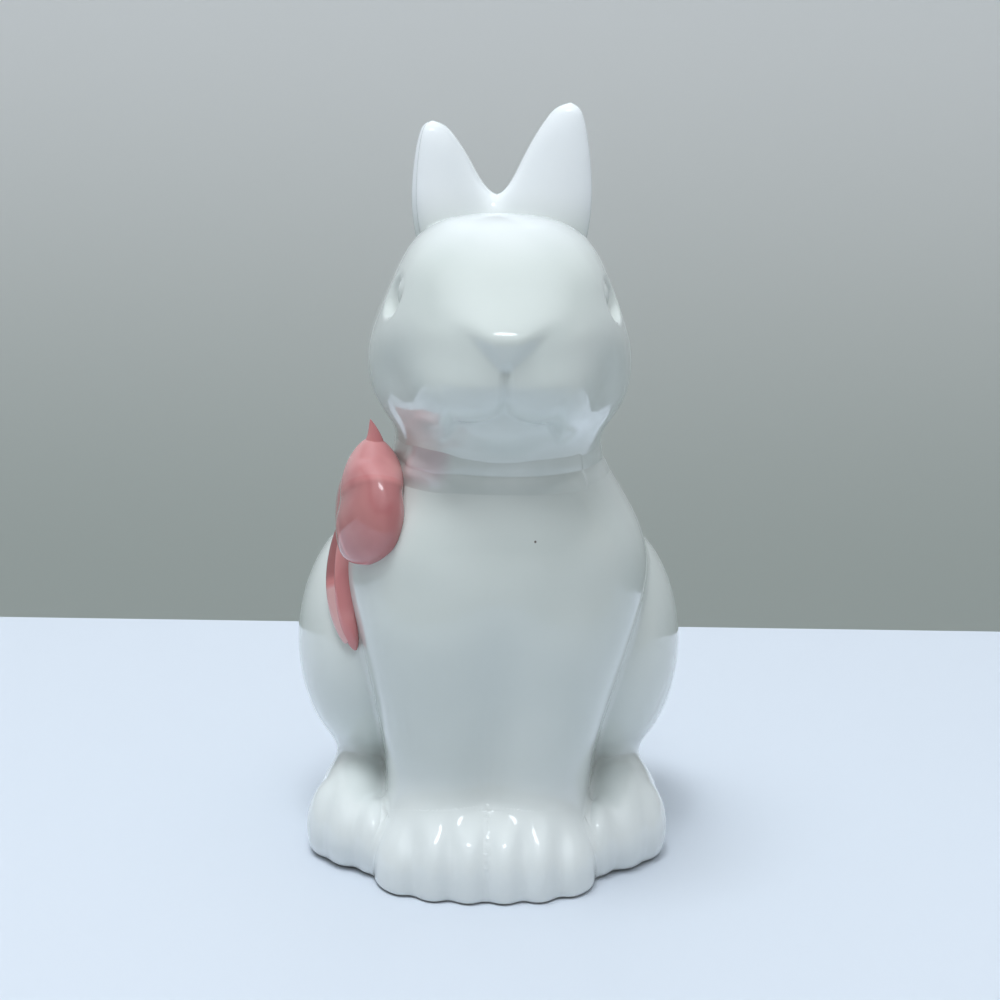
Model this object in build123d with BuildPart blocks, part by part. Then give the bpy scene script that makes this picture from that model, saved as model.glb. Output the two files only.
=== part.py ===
"""A sitting rabbit ornament in white glazed ceramic with a pink bow.

The figure is luted together from cast and pressed sections: a hollow body and a
hollow head, solid haunches, ears, paws, feet and tail, a ribbon round the neck seam
and a bow in five pieces.  Millimetres, +Z up, the rabbit looks along -Y and the origin
is the middle of the face that it rests on.  Right and left are the rabbit's own.
"""

import os
from math import copysign, cos, exp, pi, radians, sin

from build123d import *

# Body casting, measured from the vertical axis through the origin
seam_height = 93.0  # luted seam between body and head, under the ribbon
chest_half_width = 35.5
chest_front = 40.0
rump_back = 46.0
wall = 4.0
floor_thickness = 5.0
drain_radius = 8.0
drain_back = 14.0  # the drain hole lies this far behind the origin
leg_groove_depth = 3.0  # dip between the two forelegs
leg_groove_half_width = 5.5

# Head casting
head_height = 55.0  # seam to crown
head_half_width = 30.3
head_front = 41.0
head_back = 23.0
head_wall = 4.0

# Muzzle, chin, nose and eyes, fused into the head casting
muzzle_radii = (10.6, 10.4, 7.8)
muzzle_spread = 8.0
muzzle_forward = 31.0
muzzle_height = 21.6  # above the seam
chin_radii = (7.0, 7.0, 5.0)
chin_forward = 28.6
chin_height = 13.4
nose_half_width = 6.8
nose_drop = 7.4
nose_proud = 1.8
nose_root = 6.0  # how far the nose reaches back into the head
nose_height = 34.2
nose_corner = 1.4
eye_radii = (2.8, 4.6, 4.0)
eye_spread = 21.6
eye_forward = 13.4
eye_height = 38.4

# Ears
left_ear_half_width = 11.8
right_ear_half_width = 11.0
ear_half_depth = 6.4
ear_root_drop = 15.0  # under the crown, inside the head
left_ear_length = 39.4
right_ear_length = 34.6
ear_root_spread = 9.6
left_ear_tip_spread = 15.4
right_ear_tip_spread = 16.4
ear_root_back = 11.0
ear_tip_back = 14.5
ear_hollow_depth = 3.4
ear_hollow_turn_share = 1.6  # how tightly the hollow is gathered round the ear's outer side
left_ear_turn = 0.0  # degrees by which the hollow looks forward
right_ear_turn = 14.0

# Haunches
haunch_radii = (19.2, 31.0, 29.0)
left_haunch_spread = 26.0
right_haunch_spread = 27.4
haunch_back = 13.0
haunch_height = 44.0

# Hind feet
instep_radii = (10.2, 24.0, 14.0)
instep_spread = 31.0
instep_back = -5.0
instep_height = 7.0
hind_toe_radii = (5.2, 9.5, 9.4)
hind_toe_height = 6.4
hind_toe_first = (37.0, -13.0)  # outermost toe, spread and place along Y
hind_toe_step = (-5.6, -5.2)
hind_toe_count = 3

# Forepaws
paw_toe_radii = (6.2, 14.0, 10.6)
paw_toe_pitch = 7.6
paw_toe_height = 5.4
paw_toe_front = 34.0  # toe centres lie this far in front of the axis
paw_toe_count = 3
paw_toe_gap_share = 0.05  # gap between the paws, as a share of the pitch
paw_back_radii = (12.6, 13.0, 17.0)
paw_back_front = 32.0

# Tail
tail_radii = (10.0, 9.0, 10.5)
tail_height = 17.0
tail_sink = 3.0  # how far the tail's centre stands behind the rump's back

# Ribbon round the neck
ribbon_drop = 7.0  # its lower edge lies this far under the seam
ribbon_height = 13.0
ribbon_proud = 1.2
ribbon_edge = 2.4  # height over which each edge rounds down
ribbon_sink = 0.6  # the edges end this far under the skin

# Bow, placed by angles in degrees round the body from the rabbit's left side
knot_angle = 200.0
knot_drop = 2.5  # foot of the knot, under the seam
knot_length = 12.5
knot_rise = 3.5  # above the seam, where the loops and the tails leave the knot
knot_half_width = 3.9
knot_half_depth = 4.2
knot_lift = 5.5
loop_half_width = 8.8
loop_half_depth = 5.4
front_loop_angle = 228.0
front_loop_drop = 19.0  # end of the loop, under the seam
rear_loop_angle = 176.0
rear_loop_drop = 17.0
loop_lift = 2.4
bow_tail_half_width = 3.4
bow_tail_half_depth = 1.8
bow_tail_lift = 3.4
front_tail_angle = 191.0
front_tail_drop = 45.0  # end of the tail, under the seam
rear_tail_angle = 181.0
rear_tail_drop = 36.0

section_points = 28

# Shares of seam_height, chest_half_width, chest_front and rump_back, then squareness
# and the share of the leg groove, from the base up to the neck
torso_shares = (
    (0.000, 0.620, 0.850, 0.780, 2.6, 0.3),
    (0.040, 0.665, 0.895, 0.880, 2.7, 0.6),
    (0.160, 0.685, 0.920, 0.960, 2.8, 0.8),
    (0.330, 0.725, 0.940, 1.000, 2.7, 0.9),
    (0.480, 0.830, 0.975, 0.980, 2.5, 0.6),
    (0.610, 0.930, 1.000, 0.910, 2.3, 0.2),
    (0.725, 1.000, 0.985, 0.800, 2.2, 0.0),
    (0.835, 0.935, 0.920, 0.670, 2.2, 0.0),
    (0.925, 0.800, 0.810, 0.540, 2.1, 0.0),
    (1.000, 0.680, 0.690, 0.430, 2.1, 0.0),
)

# Shares of head_height, head_half_width, head_front and head_back, then squareness
# of the front and of the back
head_shares = (
    (0.110, 0.800, 0.640, 0.840, 2.1, 2.1),
    (0.180, 0.880, 0.700, 0.880, 2.0, 2.1),
    (0.260, 0.960, 0.840, 0.940, 1.9, 2.2),
    (0.370, 1.000, 0.945, 0.980, 1.8, 2.2),
    (0.490, 0.980, 1.000, 1.000, 1.8, 2.2),
    (0.600, 0.915, 0.975, 1.000, 1.85, 2.2),
    (0.710, 0.835, 0.880, 0.960, 1.95, 2.1),
    (0.820, 0.745, 0.740, 0.820, 2.1, 2.1),
    (0.910, 0.620, 0.560, 0.580, 2.1, 2.0),
    (0.970, 0.430, 0.390, 0.310, 2.0, 2.0),
    (1.000, 0.190, 0.190, 0.080, 2.0, 2.0),
)

# Shares of the ear's length, half width and half depth, from its root to its tip
ear_shares = (
    (0.00, 0.86, 0.94),
    (0.13, 0.96, 1.00),
    (0.30, 1.00, 0.98),
    (0.47, 0.94, 0.90),
    (0.63, 0.80, 0.78),
    (0.78, 0.62, 0.64),
    (0.90, 0.43, 0.47),
    (0.97, 0.25, 0.28),
    (1.00, 0.11, 0.13),
)

# Shares of the knot's height, half width and half depth, up to its pinched tip
knot_shares = (
    (0.00, 0.50, 0.60),
    (0.25, 0.96, 1.00),
    (0.55, 0.92, 0.95),
    (0.82, 0.50, 0.60),
    (1.00, 0.16, 0.20),
)

# Shares of a loop's length, half width and half depth, from the knot outwards
loop_shares = (
    (0.00, 0.36, 0.55),
    (0.16, 0.66, 0.90),
    (0.40, 0.94, 1.00),
    (0.66, 1.00, 0.90),
    (0.87, 0.76, 0.66),
    (1.00, 0.36, 0.30),
)

# Shares of a bow tail's length, half width and half depth, from the knot down
bow_tail_shares = (
    (0.00, 0.70, 0.80),
    (0.25, 0.90, 1.00),
    (0.55, 1.00, 1.00),
    (0.85, 0.84, 0.80),
    (1.00, 0.44, 0.50),
)


def closed_section(half_width, front, back, front_square, back_square, groove=0.0):
    """Points of a closed outline, superelliptic, with its own reach to front and back."""
    points = []
    for step in range(section_points):
        angle = 2 * pi * step / section_points
        across, along = cos(angle), sin(angle)
        power = 2 / (back_square if along > 0 else front_square)
        reach = back if along > 0 else front
        x = half_width * copysign(abs(across) ** power, across)
        y = reach * copysign(abs(along) ** power, along)
        if along < 0:
            y += groove * exp(-((x / leg_groove_half_width) ** 2))
        points.append((x, y))
    return points


def torso_rows(inset=0.0):
    """Sizes of the body's sections, drawn in by the wall where they bound the hollow."""
    return [
        (
            seam_height * z,
            chest_half_width * w - inset,
            chest_front * f - inset,
            rump_back * b - inset,
            square,
            square,
            leg_groove_depth * groove,
        )
        for z, w, f, b, square, groove in torso_shares
    ]


def head_rows(inset=0.0):
    """Sizes of the head's sections above the seam, drawn in for its hollow."""
    return [
        (
            seam_height + (head_height - inset) * z,
            (head_half_width - inset) * w,
            (head_front - inset) * f,
            (head_back - inset) * b,
            front_square,
            back_square,
            0.0,
        )
        for z, w, f, b, front_square, back_square in head_shares
    ]


def skin_at(height):
    """The sizes of the outer skin at a height, between its rows."""
    rows = torso_rows() + head_rows()
    for low, high in zip(rows, rows[1:]):
        if height <= high[0]:
            break
    share = (height - low[0]) / (high[0] - low[0])
    return [a + (b - a) * share for a, b in zip(low, high)]


def skin_point(angle, height, lift):
    """A point at an angle round the figure, lifted off its skin."""
    _, half_width, front, back, front_square, back_square, _ = skin_at(height)
    across, along = cos(radians(angle)), sin(radians(angle))
    power = 2 / (back_square if along > 0 else front_square)
    x = half_width * copysign(abs(across) ** power, across)
    y = (back if along > 0 else front) * copysign(abs(along) ** power, along)
    return Vector(x + lift * across, y + lift * along, height)


def ellipsoid(centre, radii, side=1):
    """A unit ball scaled to three radii, its own seam on the outer side, set at its centre."""
    with BuildPart() as ball:
        Sphere(1, rotation=(0, 0, 0 if side > 0 else 180))
        scale(by=radii)
    return ball.part.moved(Location(centre))


def level_face(height, points):
    """A level face at a height, bounded by a smooth closed curve through the points."""
    with BuildSketch(Plane.XY.offset(height)) as section:
        with BuildLine():
            Spline(points, periodic=True)
        make_face()
    return section.sketch.face()


def level_sections(rows):
    """One closed outline for each row of sizes, ready to loft."""
    return [level_face(height, closed_section(*sizes)) for height, *sizes in rows]


def save(part, name):
    """Labels a finished piece and writes it under its own name."""
    part.label = name
    export_step(part, f"parts/{name}.step")


os.makedirs("parts", exist_ok=True)
sides = ((-1, "right"), (1, "left"))

# Outer form of the body: chest, shoulders, belly, rump and both forelegs
with BuildPart() as torso_form:
    loft(level_sections(torso_rows()))

# Hollow left by the drained slip, open to the neck
with BuildPart() as torso_hollow:
    inner = [row for row in torso_rows(wall) if row[0] > floor_thickness]
    lowest = (floor_thickness, *torso_rows(wall)[1][1:])
    loft(level_sections([lowest] + inner))

# Body casting with its drain hole
with BuildPart() as body_shell:
    add(torso_form.part)
    add(torso_hollow.part, mode=Mode.SUBTRACT)
    with Locations((0, drain_back, 0)):
        Cylinder(
            drain_radius,
            floor_thickness * 2,
            align=(Align.CENTER, Align.CENTER, Align.CENTER),
            mode=Mode.SUBTRACT,
        )
save(body_shell.part, "body_shell")

# Nose pad: a rounded triangle standing proud of the muzzle
with BuildPart() as nose_pad:
    with BuildSketch(Plane.XZ.offset(head_front - nose_root)) as nose_outline:
        with BuildLine():
            Polyline(
                (-nose_half_width, seam_height + nose_height),
                (nose_half_width, seam_height + nose_height),
                (0, seam_height + nose_height - nose_drop),
                close=True,
            )
        make_face()
        fillet(nose_outline.vertices(), nose_corner)
    extrude(amount=nose_root + nose_proud)
    front_rim = nose_pad.faces().sort_by(Axis.Y)[0].edges()
    fillet(front_rim, nose_corner / 2)

# Outer form of the head with muzzle, chin, nose and eyes
with BuildPart() as head_form:
    loft(level_sections(torso_rows()[-1:] + head_rows()))
    muzzle_z = seam_height + muzzle_height
    eye_z = seam_height + eye_height
    for side, _ in sides:
        add(ellipsoid((side * muzzle_spread, -muzzle_forward, muzzle_z), muzzle_radii, side))
        add(ellipsoid((side * eye_spread, -eye_forward, eye_z), eye_radii, side))
    add(ellipsoid((0, -chin_forward, seam_height + chin_height), chin_radii))
    add(nose_pad.part)

# Hollow of the head, open to the body at the seam
with BuildPart() as head_hollow:
    loft(level_sections(torso_rows(wall)[-1:] + head_rows(head_wall)))

with BuildPart() as head_shell:
    add(head_form.part)
    add(head_hollow.part, mode=Mode.SUBTRACT)
save(head_shell.part, "head_shell")


def ear_section(half_width, half_depth, hollow, turn):
    """Outline of a left ear: an oval, hollow on its outer side and turned to the front."""
    points = []
    for step in range(section_points):
        angle = 2 * pi * step / section_points
        dip = hollow * exp(-((2 * sin(angle / 2) * ear_hollow_turn_share) ** 2))
        point = Vector(half_width * cos(angle) - dip, half_depth * sin(angle))
        points.append(point.rotate(Axis.Z, -turn))
    return points


# Ears, cut to sit on the crown and to meet at the middle
left_ear_sizes = (left_ear_length, left_ear_half_width, left_ear_tip_spread, left_ear_turn)
right_ear_sizes = (right_ear_length, right_ear_half_width, right_ear_tip_spread, right_ear_turn)
for side, name in sides:
    length, half_width, tip_spread, turn = left_ear_sizes if side > 0 else right_ear_sizes
    root = Vector(ear_root_spread, ear_root_back, seam_height + head_height - ear_root_drop)
    tip = Vector(tip_spread, ear_tip_back, root.Z + length)
    with BuildPart() as ear:
        sections = []
        for z, w, d in ear_shares:
            centre = root + (tip - root) * z
            outline = ear_section(half_width * w, ear_half_depth * d, ear_hollow_depth * w, turn)
            points = [(side * (centre.X + point.X), centre.Y + point.Y) for point in outline]
            sections.append(level_face(centre.Z, points))
        loft(sections)
        split(bisect_by=Plane.YZ, keep=Keep.TOP if side > 0 else Keep.BOTTOM)
        add(head_form.part, mode=Mode.SUBTRACT)
    save(ear.part, f"{name}_ear")

# Haunches: pressed solid and seated on the flanks
haunch_forms = []
for side, name in sides:
    spread = left_haunch_spread if side > 0 else right_haunch_spread
    centre = (side * spread, haunch_back, haunch_height)
    haunch_forms.append(ellipsoid(centre, haunch_radii, side))
    with BuildPart() as haunch:
        add(haunch_forms[-1])
        add(torso_form.part, mode=Mode.SUBTRACT)
    save(haunch.part, f"{name}_haunch")

# Forepaws: toes side by side in front of the forelegs, parted at the middle
paw_forms = []
for side, name in sides:
    with BuildPart() as forepaw:
        back_x = side * paw_toe_pitch * paw_toe_count / 2
        add(ellipsoid((back_x, -paw_back_front, 0), paw_back_radii, side))
        for toe in range(paw_toe_count):
            x = side * paw_toe_pitch * (toe + 0.5 + paw_toe_gap_share)
            add(ellipsoid((x, -paw_toe_front, paw_toe_height), paw_toe_radii, side))
        split(bisect_by=Plane.XY, keep=Keep.TOP)
        split(bisect_by=Plane.YZ, keep=Keep.TOP if side > 0 else Keep.BOTTOM)
        paw_forms.append(forepaw.part)
        add(torso_form.part, mode=Mode.SUBTRACT)
    save(forepaw.part, f"{name}_forepaw")

# Hind feet: instep and splayed toes under the haunches
for (side, name), haunch_form, paw_form in zip(sides, haunch_forms, paw_forms):
    with BuildPart() as hind_foot:
        instep = (side * instep_spread, instep_back, instep_height)
        add(ellipsoid(instep, instep_radii, side))
        for toe in range(hind_toe_count):
            x = side * (hind_toe_first[0] + hind_toe_step[0] * toe)
            y = hind_toe_first[1] + hind_toe_step[1] * toe
            add(ellipsoid((x, y, hind_toe_height), hind_toe_radii, side))
        split(bisect_by=Plane.XY, keep=Keep.TOP)
        add(torso_form.part, mode=Mode.SUBTRACT)
        add(haunch_form, mode=Mode.SUBTRACT)
        add(paw_form, mode=Mode.SUBTRACT)
    save(hind_foot.part, f"{name}_hind_foot")

# Tail
with BuildPart() as tail:
    add(ellipsoid((0, rump_back + tail_sink, tail_height), tail_radii))
    add(torso_form.part, mode=Mode.SUBTRACT)
save(tail.part, "tail")

# Ribbon laid over the neck seam, its edges running into the skin
with BuildPart() as ribbon:
    outlines = []
    for share, lift in (
        (0, -ribbon_sink),
        (ribbon_edge / ribbon_height, ribbon_proud),
        (1 - ribbon_edge / ribbon_height, ribbon_proud),
        (1, -ribbon_sink),
    ):
        height = seam_height - ribbon_drop + ribbon_height * share
        _, half_width, front, back, front_square, back_square, _ = skin_at(height)
        sizes = (half_width + lift, front + lift, back + lift, front_square, back_square)
        outlines.append(level_face(height, closed_section(*sizes)))
    loft(outlines)
    ribbon_form = ribbon.part
    add(torso_form.part, mode=Mode.SUBTRACT)
    add(head_form.part, mode=Mode.SUBTRACT)
save(ribbon.part, "ribbon")


def laid_form(start, end, shares, half_width, half_depth, lift):
    """A strip of oval sections laid along the skin from one angle and height to another."""
    first, last = skin_point(*start, lift), skin_point(*end, lift)
    faces = []
    for share, w, d in shares:
        angle, height = [a + (b - a) * share for a, b in zip(start, end)]
        outward = Vector(cos(radians(angle)), sin(radians(angle)), 0)
        across = outward.cross(last - first)
        plane = Plane(skin_point(angle, height, lift), x_dir=across, z_dir=last - first)
        with BuildSketch(plane) as section:
            Ellipse(half_width * w, half_depth * d)
        faces.append(section.sketch.face())
    with BuildPart() as strip:
        loft(faces)
    return strip.part


# Bow at the side of the neck: each piece is cut by what lies under it
knot_place = (knot_angle, seam_height + knot_rise)
knot_foot = (knot_angle, seam_height - knot_drop)
knot_tip = (knot_angle, seam_height - knot_drop + knot_length)
front_loop_end = (front_loop_angle, seam_height - front_loop_drop)
rear_loop_end = (rear_loop_angle, seam_height - rear_loop_drop)
front_tail_end = (front_tail_angle, seam_height - front_tail_drop)
rear_tail_end = (rear_tail_angle, seam_height - rear_tail_drop)
knot_sizes = (knot_shares, knot_half_width, knot_half_depth, knot_lift)
loop_sizes = (loop_shares, loop_half_width, loop_half_depth, loop_lift)
bow_tail_sizes = (bow_tail_shares, bow_tail_half_width, bow_tail_half_depth, bow_tail_lift)
bow_forms = {
    "bow_knot": laid_form(knot_foot, knot_tip, *knot_sizes),
    "bow_front_loop": laid_form(knot_place, front_loop_end, *loop_sizes),
    "bow_rear_loop": laid_form(knot_place, rear_loop_end, *loop_sizes),
    "bow_front_tail": laid_form(knot_place, front_tail_end, *bow_tail_sizes),
    "bow_rear_tail": laid_form(knot_place, rear_tail_end, *bow_tail_sizes),
}
under = [torso_form.part, head_form.part, ribbon_form, haunch_forms[0]]
for name, form in bow_forms.items():
    with BuildPart() as bow_piece:
        add(form)
        for lower in under:
            add(lower, mode=Mode.SUBTRACT)
    save(bow_piece.part, name)
    under.append(form)
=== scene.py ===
# A sitting rabbit ornament in glossy white ceramic with a pink bow, dressed over its CAD frame
import math

import bpy
import numpy as np
from mathutils import Matrix, Vector


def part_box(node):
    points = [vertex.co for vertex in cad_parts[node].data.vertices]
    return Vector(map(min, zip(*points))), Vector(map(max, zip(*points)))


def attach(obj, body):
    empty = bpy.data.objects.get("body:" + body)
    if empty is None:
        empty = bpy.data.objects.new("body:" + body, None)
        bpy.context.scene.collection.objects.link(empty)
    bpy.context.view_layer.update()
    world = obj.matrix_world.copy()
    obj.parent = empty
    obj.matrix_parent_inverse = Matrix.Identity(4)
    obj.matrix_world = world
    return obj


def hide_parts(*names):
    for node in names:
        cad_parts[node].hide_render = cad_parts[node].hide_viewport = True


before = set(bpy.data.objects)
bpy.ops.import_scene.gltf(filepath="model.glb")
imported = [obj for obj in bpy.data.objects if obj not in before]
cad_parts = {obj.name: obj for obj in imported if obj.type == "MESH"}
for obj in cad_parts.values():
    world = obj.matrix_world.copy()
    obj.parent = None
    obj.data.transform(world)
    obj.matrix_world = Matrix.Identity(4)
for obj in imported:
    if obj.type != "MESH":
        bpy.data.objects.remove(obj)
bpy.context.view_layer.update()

mm = 0.001


# Forms as signed fields in millimetres: below zero inside, about the distance near the skin


def boxOf(node):
    # lowest and highest corner of a CAD node
    low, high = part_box(node)
    return np.array(low) / mm, np.array(high) / mm


def unit(v):
    return v / (np.sqrt((v**2).sum(-1, keepdims=True)) + 1e-9)


def smoothRows(rows, steps):
    # a natural cubic through the rows, sampled evenly along the line of their first two columns
    rows = np.array(rows, float)
    knots = np.concatenate([[0], np.cumsum(np.hypot(*np.diff(rows[:, :2], axis=0).T))])
    gaps = np.diff(knots)
    inner = np.arange(1, len(knots) - 1)
    system = np.eye(len(knots))
    system[inner, inner - 1] = gaps[:-1]
    system[inner, inner] = 2 * (gaps[:-1] + gaps[1:])
    system[inner, inner + 1] = gaps[1:]
    right = np.zeros_like(rows)
    right[1:-1] = 6 * np.diff(np.diff(rows, axis=0) / gaps[:, None], axis=0)
    bend = np.linalg.solve(system, right)
    at = np.linspace(0, knots[-1], steps)
    low = np.clip(np.searchsorted(knots, at) - 1, 0, len(gaps) - 1)
    gap = gaps[low][:, None]
    upper = (at - knots[low])[:, None] / gap
    lower = 1 - upper
    curve = (lower**3 - lower) * bend[low] + (upper**3 - upper) * bend[low + 1]
    return lower * rows[low] + upper * rows[low + 1] + curve * gap**2 / 6


def rowField(rows, grooveWidth=1.0):
    # stacked level sections |x/w|^n + |y/d|^n = 1 with a groove down the front: the level
    # distance to the wall, eased by the wall's lean
    table = rows[np.argsort(rows[:, 0])]
    heights, sizes = table[:, 0], np.maximum(table[:, 1:], 0.02)
    sizes[:, 5] = table[:, 6]
    slopes = np.gradient(sizes, heights + 1e-6 * np.arange(len(heights)), axis=0)

    def field(p):
        x, y, z = p[..., 0], p[..., 1], p[..., 2]
        w, f, b, nf, nb, groove = (np.interp(z, heights, column) for column in sizes.T)
        y = y - np.where(y < 0, groove * np.exp(-((x / grooveWidth) ** 2)), 0)
        reach, n = np.where(y < 0, f, b), np.where(y < 0, nf, nb)
        q = (np.abs(x / w) ** n + np.abs(y / reach) ** n) ** (1 / n) + 1e-6
        r = np.hypot(x, y) + 1e-6
        sw, sf, sb = (np.interp(z, heights, column) for column in slopes.T[:3])
        lean = (sw * np.abs(x) + np.where(y < 0, sf, sb) * np.abs(y)) / r
        beyond = np.maximum(z - heights[-1], heights[0] - z)
        return np.maximum((r - r / q) / np.sqrt(1 + lean**2), beyond)

    return field


def ballField(centre, radii, power=2.0):
    # an ellipsoid, or with a higher power a fuller cushion: how far out of the unit form,
    # over the slope there
    centre, radii = np.array(centre, float), np.array(radii, float)

    def field(p):
        u = np.abs((p - centre) / radii) + 1e-6
        k = (u**power).sum(-1) ** (1 / power)
        slope = np.sqrt(((u ** (power - 1) / radii) ** 2).sum(-1)) / k ** (power - 1)
        return (k - 1) / slope

    return field


def folded(p):
    # both sides of the figure laid on the +X side
    return np.stack([np.abs(p[..., 0]), p[..., 1], p[..., 2]], -1)


def fuse(a, b, k):
    # union of two fields with a fillet of about k where they meet
    share = np.clip(1 - np.abs(a - b) / k, 0, 1)
    return np.minimum(a, b) - share**2 * k / 4


def common(a, b, k):
    # what two fields share, with the edge rounded
    return -fuse(-a, -b, k)


def rise(value, low, high):
    # a soft step from 0 at low to 1 at high
    share = np.clip((value - low) / (high - low), 0, 1)
    return share * share * (3 - 2 * share)


def gradient(field, p, step=0.05):
    # central differences of a field along the three axes
    return np.stack([field(p + step * e) - field(p - step * e) for e in np.eye(3)], -1) / (2 * step)


def rays(rows, columns):
    # directions on the unit ball, from the pole at -Z to the pole at +Z
    turn = np.linspace(0, 2 * np.pi, columns, endpoint=False)
    tilt = np.linspace(-np.pi / 2, np.pi / 2, rows + 2)[1:-1, None]
    return np.stack([np.cos(tilt) * np.cos(turn), np.cos(tilt) * np.sin(turn), np.sin(tilt) + 0 * turn], -1)


def castGrid(field, centre, far, rows, columns):
    # rays from a centre, each halved down to where the field crosses zero
    directions = rays(rows, columns)
    near, beyond = np.zeros(directions.shape[:2]), np.full(directions.shape[:2], float(far))
    for _ in range(24):
        middle = (near + beyond) / 2
        outside = field(np.array(centre) + middle[..., None] * directions) > 0
        near, beyond = np.where(outside, near, middle), np.where(outside, middle, beyond)
    return np.array(centre) + near[..., None] * directions


def starField(points, centre):
    # a form known by its grid of rays: distance from the centre less the grid's own, read
    # between its rows and columns and eased by how far the skin leans off the ray
    offset = points - np.array(centre)
    radius = np.sqrt((offset**2).sum(-1))
    rows, columns = radius.shape
    rise = np.gradient(radius, np.pi / (rows + 1), axis=0) / radius
    ahead = np.roll(radius, -1, 1) - np.roll(radius, 1, 1)
    tilt = np.linspace(-np.pi / 2, np.pi / 2, rows + 2)[1:-1, None]
    swing = ahead / (4 * np.pi / columns) / radius / np.cos(tilt)
    ease = 1 / np.sqrt(1 + rise**2 + swing**2)

    def field(p):
        v = p - np.array(centre)
        far = np.sqrt((v**2).sum(-1)) + 1e-6
        column = (np.arctan2(v[..., 1], v[..., 0]) / (2 * np.pi)) % 1 * columns
        row = np.clip((np.arcsin(v[..., 2] / far) / np.pi + 0.5) * (rows + 1) - 1, 0, rows - 1.001)
        i, j = row.astype(int), column.astype(int)
        a, b = row - i, column - j
        j, nextJ = j % columns, (j + 1) % columns
        below = ((i, j, (1 - a) * (1 - b)), (i, nextJ, (1 - a) * b))
        corners = below + ((i + 1, j, a * (1 - b)), (i + 1, nextJ, a * b))
        r = sum(radius[m, n] * share for m, n, share in corners)
        e = sum(ease[m, n] * share for m, n, share in corners)
        return (far - r) * e

    return field


def settle(points, own, others, reach=6.0, rounds=12):
    # moves a grid along its normals onto the filleted union of its own form and its
    # neighbours; where a neighbour leads, the grid dips under it
    flat = points.reshape(-1, 3)
    normal = unit(gradient(own, flat))
    travel = np.zeros(len(flat))
    for _ in range(rounds):
        p = flat + travel[:, None] * normal
        total = own(p)
        for other, k in others:
            total = fuse(total, other(p), k)
        travel = np.clip(travel - 0.8 * total, -0.5, reach)
    p = flat + travel[:, None] * normal
    lead = own(p) - np.min([other(p) for other, _ in others], axis=0)
    inside = -np.min([other(flat) for other, _ in others], axis=0)
    widest = max(k for _, k in others)
    keep = np.clip(2 - inside / widest, 0, 1)  # a point far inside a neighbour stays where it is
    travel = travel * keep - 0.5 * np.clip(lead - np.maximum(0.12 * widest, 0.25), 0, 2)
    moved = flat + travel[:, None] * normal
    moved[:, 2] = np.maximum(moved[:, 2], 0)  # nothing goes under the table
    return moved.reshape(points.shape)


# Meshes


def gridPiece(name, points, node, material, tone=None):
    # a mesh from a grid that closes round its second direction, with a pole at each end
    rows, columns = points.shape[:2]
    i, j = np.meshgrid(np.arange(rows - 1), np.arange(columns), indexing="ij")
    k = (j + 1) % columns
    quads = np.stack([i * columns + j, i * columns + k, (i + 1) * columns + k, (i + 1) * columns + j], -1)
    ring = np.arange(columns)
    ahead = (ring + 1) % columns
    last = (rows - 1) * columns
    first, final = np.full(columns, rows * columns), np.full(columns, rows * columns + 1)
    low = np.stack([ahead, ring, first], -1)
    high = np.stack([last + ring, last + ahead, final], -1)
    vertices = np.vstack([points.reshape(-1, 3), points[0].mean(axis=0), points[-1].mean(axis=0)])
    mesh = bpy.data.meshes.new(name)
    faces = quads.reshape(-1, 4).tolist() + low.tolist() + high.tolist()
    mesh.from_pydata((vertices * mm).tolist(), [], faces)
    mesh.polygons.foreach_set("use_smooth", np.ones(len(mesh.polygons), bool))
    mesh.update()
    mesh.materials.append(material)
    if tone is not None:
        marks = np.concatenate([tone.ravel(), [tone[0].mean(), tone[-1].mean()]])
        mesh.attributes.new("tone", "FLOAT", "POINT").data.foreach_set("value", marks)
    piece = bpy.data.objects.new(name, mesh)
    bpy.context.collection.objects.link(piece)
    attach(piece, "root")
    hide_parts(node)
    return piece


aside = {"shift": 1.7, "front": (-5.0, 35.0), "up": (12.0, 60.0)}


def stance(points):
    # paws and feet stand a little to the figure's right of its body
    share = rise(-points[..., 1], *aside["front"]) * (1 - rise(points[..., 2], *aside["up"]))
    return points - share[..., None] * [aside["shift"], 0, 0]


def mirrored(points):
    # the same grid at the other side, turned so that its faces still look outwards
    return points[:, ::-1] * [-1, 1, 1]


def rowGrid(rows, columns, grooveWidth=1.0):
    # points of stacked sections: each a superellipse with its own front and back
    angle = np.linspace(0, 2 * np.pi, columns, endpoint=False)
    across, along = np.cos(angle), np.sin(angle)
    z, w, f, b, nf, nb, groove = (column[:, None] for column in rows.T)
    n = np.where(along < 0, nf, nb)
    x = w * np.sign(across) * np.abs(across) ** (2 / n)
    y = np.where(along < 0, f, b) * np.sign(along) * np.abs(along) ** (2 / n)
    y = y + np.where(along < 0, groove * np.exp(-((x / grooveWidth) ** 2)), 0)
    return np.stack([x, y, np.broadcast_to(z, x.shape)], -1)


# Materials


def linear(hexColour):
    # sRGB hex to scene linear
    channels = [int(hexColour[i : i + 2], 16) / 255 for i in (1, 3, 5)]
    return [c / 12.92 if c <= 0.04045 else ((c + 0.055) / 1.055) ** 2.4 for c in channels] + [1]


def addNode(tree, kind, settings=None, inputs=None):
    # a node with its settings, and its inputs as values or as links from other sockets
    node = tree.nodes.new(kind)
    for key, value in (settings or {}).items():
        setattr(node, key, value)
    for key, value in (inputs or {}).items():
        if isinstance(value, bpy.types.NodeSocket):
            tree.links.new(value, node.inputs[key])
        else:
            node.inputs[key].default_value = value
    return node


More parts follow.
